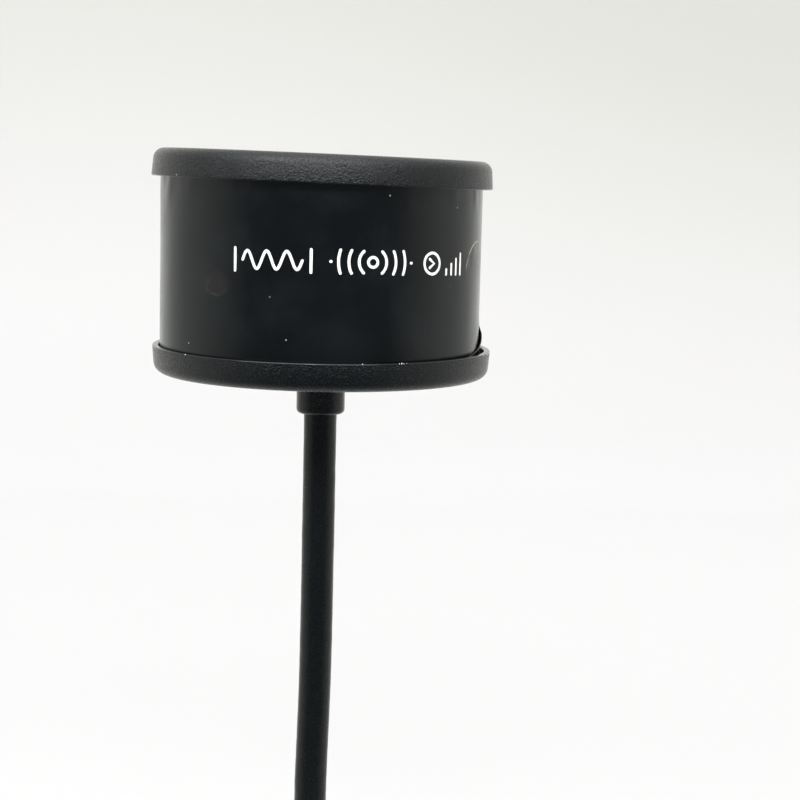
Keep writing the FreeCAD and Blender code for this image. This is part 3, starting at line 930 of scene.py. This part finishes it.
class ANTENNA_OT_plug(bpy.types.Operator):
    """Build the plug's body, pin and gasket"""

    bl_idname = "antenna.plug"
    bl_label = "Plug"

    def execute(self, context):
        shades = context.scene.antenna_colours
        edge = context.scene.antenna_plug.edge
        gold = metal("gold_plate_body", shades.gold, 0.24)
        flange = nut_high.z + FLANGE_GAP
        barrel = sleeve_high.x - context.scene.antenna_mast.sleeve_wall
        corners = [
            (insulator_high.x, 0, 0),
            (CONTACT_RADIUS, 0, edge),
            (CONTACT_RADIUS, gasket_low.z, 0),
            (CONTACT_RADIUS + 0.08 * MM, gasket_high.z, 0),
            (JOURNAL_RADIUS, gasket_high.z, edge),
            (JOURNAL_RADIUS, GROOVE_LOW, edge),
            (JOURNAL_GROOVE, GROOVE_LOW, 0),
            (JOURNAL_GROOVE, GROOVE_HIGH, 0),
            (JOURNAL_RADIUS, GROOVE_HIGH, edge),
            (JOURNAL_RADIUS, flange, 0),
            (body_high.x, flange, 2 * edge),
            (body_high.x, flange + FLANGE_HEIGHT, 2 * edge),
            (barrel, flange + FLANGE_HEIGHT, 2 * edge),
            (barrel, jacket_low.z, 0),
            (shield_high.x, jacket_low.z, 0),
            (shield_high.x, insulator_high.z, 0),
            (insulator_high.x, insulator_high.z, 0),
        ]
        add_piece(turned(corners, PLUG_STEPS), "plug_shell", [gold], ["plug_body"])
        socket = conductor_low.z
        corners = [
            (0, pin_low.z, 0),
            (0.3 * MM, pin_low.z, 0.16 * MM),
            (PIN_RADIUS, pin_low.z + 0.35 * MM, 0.2 * MM),
            (PIN_RADIUS, 0, 0),
            (pin_high.x, 0, 0),
            (pin_high.x, pin_high.z, 0),
            (conductor_high.x, pin_high.z, 0),
            (conductor_high.x, socket, 0),
            (0, socket, 0),
        ]
        gold = metal("gold_plate_pin", shades.gold, 0.18)
        add_piece(turned(corners, PLUG_STEPS // 2), "centre_pin", [gold], ["contact_pin"])
        inner = CONTACT_RADIUS + 0.12 * MM
        soft = 0.1 * MM
        corners = [
            (inner, gasket_low.z, soft),
            (gasket_high.x, gasket_low.z, soft),
            (gasket_high.x, gasket_high.z, soft),
            (inner, gasket_high.z, soft),
        ]
        finish = rubber("gasket_silicone", (0.42, 0.05, 0.03), 0.4, 0.3 * MM, 0.004 * MM)
        add_piece(turned(corners, PLUG_STEPS), "gasket_ring", [finish], ["plug_gasket"])
        return {"FINISHED"}


class ANTENNA_OT_nut(bpy.types.Operator):
    """Build the coupling nut with its thread"""

    bl_idname = "antenna.nut"
    bl_label = "Coupling nut"

    def execute(self, context):
        plug = context.scene.antenna_plug
        edge = plug.edge
        mouth, top = nut_low.z, nut_high.z
        corner = nut_high.x
        bevel = corner - NUT_CHAMFER
        root = THREAD_CREST + plug.thread_depth
        thread_end = gasket_low.z - 0.1 * MM
        corners = [
            (root + 0.12 * MM, mouth, edge),
            (bevel, mouth, 0),
            (corner, mouth + NUT_CHAMFER * NUT_SLOPE, 0),
            (corner, top - NUT_CHAMFER * NUT_SLOPE, 0),
            (bevel, top, 0),
            (NUT_LIP + 0.1 * MM, top, edge),
            (NUT_LIP, top - 0.1 * MM, 0),
            (NUT_LIP, GROOVE_HIGH, 0),
            (NUT_GROOVE, GROOVE_HIGH, 0),
            (NUT_GROOVE, GROOVE_LOW, 0),
            (THREAD_CREST, GROOVE_LOW, 0),
            (THREAD_CREST, thread_end, 0),
            (root, thread_end, 0),
            (root, mouth + 0.3 * MM, 0),
        ]
        bm = turned(corners, PLUG_STEPS * 2)
        for vertex in bm.verts:
            across = vertex.co.xy.length
            reach = hexagon_reach(math.atan2(vertex.co.y, vertex.co.x), plug.across_flats)
            if across > reach:
                drop = max(0.0, reach - bevel) * NUT_SLOPE
                if across > bevel + NUT_MERGE:
                    vertex.co.z = mouth + drop if vertex.co.z < 0 else top - drop
                vertex.co.x *= reach / across
                vertex.co.y *= reach / across
        bmesh.ops.remove_doubles(bm, verts=bm.verts[:], dist=NUT_MERGE)
        base = root + 0.04 * MM
        pitch = plug.thread_pitch
        start = mouth + 0.32 * MM
        profile = zip((base, THREAD_CREST, THREAD_CREST, base), RIDGE_SHARES)
        ridge = [bm.verts.new((radius, 0, start + share * pitch)) for radius, share in profile]
        end = bm.faces.new(ridge)
        turns = math.floor((thread_end - start) / pitch) - 1
        bmesh.ops.spin(
            bm, geom=[*ridge, *end.edges, end], cent=(0, 0, 0), axis=AXIS, dvec=AXIS * (pitch / PLUG_STEPS),
            angle=2 * math.pi * turns, steps=PLUG_STEPS * turns,
        )
        bmesh.ops.recalc_face_normals(bm, faces=bm.faces[:])
        gold = metal("gold_plate_nut", context.scene.antenna_colours.gold, 0.27, 0.4 * MM, 0.003 * MM)
        add_piece(bm, "threaded_nut", [gold], ["coupling_nut"], body=NUT, crease=25.0)
        return {"FINISHED"}


class ANTENNA_OT_inside(bpy.types.Operator):
    """Give the boards, the coaxial line and the other solids inside their finishes"""

    bl_idname = "antenna.inside"
    bl_label = "Inside finishes"

    def execute(self, context):
        shades = context.scene.antenna_colours
        copper = metal("board_copper", shades.copper, 0.3, 0.3 * MM, 0.002 * MM, 0.7)
        solder = metal("solder_tin", (0.72, 0.72, 0.73), 0.32, 0.5 * MM, 0.01 * MM)
        nylon = plain_plastic("spacer_nylon", (0.74, 0.73, 0.68), 0.45)
        fluoropolymer = plain_plastic("fluoropolymer", (0.82, 0.82, 0.80), 0.3, 0.06)
        finishes = [
            (plain_plastic("tube_plastic", (0.03, 0.03, 0.03), 0.45), "radome_tube"),
            (plain_plastic("jacket_plastic", (0.025, 0.025, 0.025), 0.4), "coax_jacket"),
            (metal("tinned_braid", (0.68, 0.68, 0.66), 0.38, 0.2 * MM, 0.03 * MM), "coax_shield"),
            (fluoropolymer, "coax_dielectric", "plug_insulator"),
            (metal("silvered_wire", (0.85, 0.84, 0.80), 0.22), "coax_conductor"),
            (metal("spring_bronze", (0.68, 0.47, 0.27), 0.3), "retaining_ring"),
            (glass_laminate(shades), "lower_board", "middle_board", "upper_board"),
            (copper, "lower_ring_copper", "middle_arms_copper", "upper_arms_copper"),
            (solder, "lower_solder", "middle_solder", "centre_solder"),
            (nylon, "lower_spacer", "upper_spacer"),
        ]
        for material, *nodes in finishes:
            for node in nodes:
                slots = frame["nodes"][node].data.materials
                slots.clear()
                slots.append(material)
        return {"FINISHED"}


# Flecks of dust: degrees round the axis, height above the bottom cap's face and half width, in millimetres
FLECKS = [
    (-65.4, 34.0, 0.17), (-34.7, 32.0, 0.11), (-105.1, 16.2, 0.13), (-99.4, 8.9, 0.14),
    (-138.8, 7.0, 0.13), (-37.6, 17.9, 0.09), (-62.3, 5.08, 0.14), (-61.5, 5.1, 0.20),
    (-60.7, 5.08, 0.16), (-59.8, 5.1, 0.09), (-18.0, 5.05, 0.13), (-13.0, 5.05, 0.17),
    (-8.0, 5.05, 0.20), (-74.6, 5.1, 0.14), (-137.1, 5.1, 0.15), (-142.0, 36.6, 0.13),
    (-150.0, -21.9, 0.09), (20.0, 12.0, 0.10), (75.0, 26.0, 0.09), (118.0, 15.0, 0.11),
    (160.0, 30.0, 0.08),
]
# The radius from which a fleck drops inwards
FLECK_START = 60 * MM


class ANTENNA_OT_dust(bpy.types.Operator):
    """Lay a few flecks of dust on the film and the rims"""

    bl_idname = "antenna.dust"
    bl_label = "Dust"

    def execute(self, context):
        draw = random.Random(7)
        graph = context.evaluated_depsgraph_get()
        bm = bmesh.new()
        for degrees, height, size in FLECKS:
            out = outwards(degrees)
            start = out * FLECK_START + AXIS * (cap_low.z + height * MM)
            found, spot, normal = context.scene.ray_cast(graph, start, -out)[:3]
            if not found:
                raise RuntimeError("a fleck of dust has nothing to lie on")
            fleck = bmesh.ops.create_icosphere(bm, subdivisions=1, radius=size * MM)["verts"]
            for vertex in fleck:
                vertex.co *= draw.uniform(0.6, 1.1)
            squash = Matrix.Diagonal((draw.uniform(0.7, 1.2), draw.uniform(0.7, 1.2), 0.3, 1.0))
            lay = Matrix.Translation(spot) @ normal.to_track_quat("Z", "Y").to_matrix().to_4x4() @ squash
            bmesh.ops.transform(bm, matrix=lay, verts=fleck)
        finish = plain_plastic("dust_pale", context.scene.antenna_colours.dust, 0.8)
        add_piece(bm, "dust_flecks", [finish])
        return {"FINISHED"}


# Studio

FLOOR_HALF = 1.6
WALL_HEIGHT = 1.2
COVE_RADIUS = 0.03
# Lamps: place over the head's middle, width, depth and the setting that holds the power
LAMPS = {
    "key_strip": ((-0.08, -0.62, 0.50), 1.5, 0.22, "key_power"),
    "fill_box": ((0.0, 0.0, 0.85), 0.7, 0.7, "fill_power"),
    "spark_lamp": ((-0.06, -0.66, 0.50), 0.09, 0.09, "spark_power"),
}
WHITE = (1.0, 1.0, 1.0, 1.0)
# The paper beneath the lamps, the tones that the camera meets on it low and high, with painted shade that
# darkens it higher up, and the share of these
PAPER = (0.90, 0.90, 0.895, 1.0)
PAPER_LOW = (0.901, 0.890, 0.890, 1.0)
PAPER_HIGH = (0.668, 0.668, 0.609, 1.0)
PAPER_SEEN = 0.78
AIR = (0.93, 0.93, 0.92, 1.0)
# What a mirror meets towards each side of the room: 0 is the camera's side, 1 lies behind the object
ROOM_TONES = [
    (0.0, 0.13), (0.18, 0.14), (0.33, 0.40), (0.50, 0.57),
    (0.67, 0.62), (0.80, 0.72), (0.89, 0.95), (1.0, 1.0),
]
ROOM_TURN = math.radians(2)


def blank_tree(owner):
    """The owner's own node tree, emptied."""
    owner.use_nodes = True
    owner.node_tree.nodes.clear()
    return Wire(owner.node_tree)


def room_light(place):
    """The room's tone towards a place: dim and cool in front, bright behind."""
    across, along = place.part(0), place.part(1)
    reach = (across * across + along * along + 1e-6) ** 0.5
    behind = along * math.cos(ROOM_TURN) - across * math.sin(ROOM_TURN)
    stops = []
    for at, tone in ROOM_TONES:
        warmth = min(1.0, 2.5 * at)
        tint = (0.80 + 0.18 * warmth, 0.95 + 0.05 * warmth, 1 - 0.05 * warmth)
        stops.append((at, rgba(tint, tone)))
    return place.node("ValToRGB", {"stops": stops}, {"Fac": behind / reach * 0.5 + 0.5})


def backdrop_paper():
    """A pale paper that the lamps light, with the tones that the camera and mirrors meet, which hold
    painted shade and a painted pool of light.
    """
    made = bpy.data.materials.new("backdrop_paper")
    wire = blank_tree(made)
    camera = wire.node("LightPath", output="Is Camera Ray")
    mirror = wire.node("LightPath", output="Is Glossy Ray")
    lit = wire.node("BsdfDiffuse", inputs={"Color": PAPER})
    side, depth, height = [wire.place().part(axis) for axis in range(3)]
    low = height.between(0.0, 0.16)
    # Painted shade: the camera sees the paper darker higher up and, above the floor, towards the right
    painted_shade = height.between(0.07, 0.29, 0.0, 0.85) + side.between(-0.15, 0.25, 0.0, 0.36) * low
    glow = wire.node("Emission", inputs={"Color": painted_shade.mixed(PAPER_LOW, PAPER_HIGH)})
    # Painted pool of light: mirrors see the floor whiter round the object's foot
    reach = (side * side + depth * depth) ** 0.5
    under = reach.between(0.02, 0.12, 0.4, 0.0).mixed(room_light(wire.place()), WHITE)
    room = wire.node("Emission", inputs={"Color": under})
    shown = wire.node("MixShader", inputs={0: camera * PAPER_SEEN, 1: lit, 2: glow})
    wire.node("MixShader", inputs={0: mirror, 1: shown, 2: room}).ends_in("OutputMaterial")
    return made


class ANTENNA_OT_stage(bpy.types.Operator):
    """Set up the floor, the backdrop, the lamps and the camera"""

    bl_idname = "antenna.stage"
    bl_label = "Studio"

    def execute(self, context):
        scene = context.scene
        studio = scene.antenna_studio
        bm = bmesh.new()
        bmesh.ops.create_grid(bm, x_segments=1, y_segments=1, size=FLOOR_HALF)
        bmesh.ops.translate(bm, verts=bm.verts[:], vec=AXIS * nut_low.z)
        back = [edge for edge in bm.edges if all(vertex.co.y > 0 for vertex in edge.verts)]
        for vertex in back[0].verts:
            vertex.co.y = studio.wall_distance
        wall = bmesh.ops.extrude_edge_only(bm, edges=back)["geom"]
        raised = [part for part in wall if isinstance(part, bmesh.types.BMVert)]
        bmesh.ops.translate(bm, verts=raised, vec=AXIS * WALL_HEIGHT)
        bmesh.ops.bevel(
            bm, geom=back, offset=COVE_RADIUS, segments=12, affect="EDGES", profile=0.5, material=-1
        )
        add_object(bm, "backdrop", [backdrop_paper()])

        head = Vector((0, 0, (tube_low.z + tube_high.z) / 2))
        for name, (place, width, depth, power) in LAMPS.items():
            lamp = bpy.data.lights.new(name, "AREA")
            lamp.shape = "RECTANGLE"
            lamp.size = width
            lamp.size_y = depth
            lamp.energy = getattr(studio, power)
            piece = bpy.data.objects.new(name, lamp)
            piece.location = head + Vector(place)
            piece.rotation_euler = (-Vector(place)).to_track_quat("-Z", "Y").to_euler()
            scene.collection.objects.link(piece)

        scene.world = bpy.data.worlds.new("studio_air")
        wire = blank_tree(scene.world)
        way = wire.node("TexCoord", output="Generated")
        along, rise = way.part(1), way.part(2)
        lift = rise.between(0.0, 0.4, 0.0, 0.8) * (1 - along * along)
        seen = wire.node("LightPath", output="Is Camera Ray")
        shade = seen.mixed(lift.mixed(room_light(way), WHITE), AIR)
        wire.node("Background", inputs={"Color": shade}).ends_in("OutputWorld")

        camera = bpy.data.cameras.new("camera")
        camera.lens = studio.lens
        camera.sensor_width = 36.0
        camera.clip_start = 0.01
        camera.clip_end = 20.0
        viewer = bpy.data.objects.new("camera", camera)
        tilt = Matrix.Rotation(math.pi / 2 - studio.pitch, 4, "X")
        roll = Matrix.Rotation(-studio.roll, 4, "Y")
        viewer.matrix_world = Matrix.Translation(studio.eye) @ roll @ tilt
        scene.collection.objects.link(viewer)
        scene.camera = viewer
        scene.view_settings.view_transform = "Standard"
        return {"FINISHED"}


OPERATORS = (
    ANTENNA_OT_caps,
    ANTENNA_OT_film,
    ANTENNA_OT_print,
    ANTENNA_OT_grommet,
    ANTENNA_OT_mast,
    ANTENNA_OT_plug,
    ANTENNA_OT_nut,
    ANTENNA_OT_inside,
    ANTENNA_OT_dust,
    ANTENNA_OT_stage,
)


class ANTENNA_PT_builder(bpy.types.Panel):
    """The antenna's sizes, colours and builders"""

    bl_idname = "ANTENNA_PT_builder"
    bl_label = "Antenna"
    bl_space_type = "VIEW_3D"
    bl_region_type = "UI"
    bl_category = "Antenna"

    def draw(self, context):
        layout = self.layout
        for name, group in GROUPS.items():
            box = layout.box()
            box.label(text=group.__doc__)
            for key in group.__annotations__:
                box.prop(getattr(context.scene, name), key)
        for operator in OPERATORS:
            layout.operator(operator.bl_idname)


CLASSES = (*GROUPS.values(), *OPERATORS, ANTENNA_PT_builder)


def register():
    for each in CLASSES:
        bpy.utils.register_class(each)
    for name, group in GROUPS.items():
        setattr(bpy.types.Scene, name, PointerProperty(type=group))


def unregister():
    for name in GROUPS:
        delattr(bpy.types.Scene, name)
    for each in reversed(CLASSES):
        bpy.utils.unregister_class(each)


def main():
    register()
    for operator in OPERATORS:
        group, name = operator.bl_idname.split(".")
        getattr(getattr(bpy.ops, group), name)()


if __name__ == "__main__":
    main()
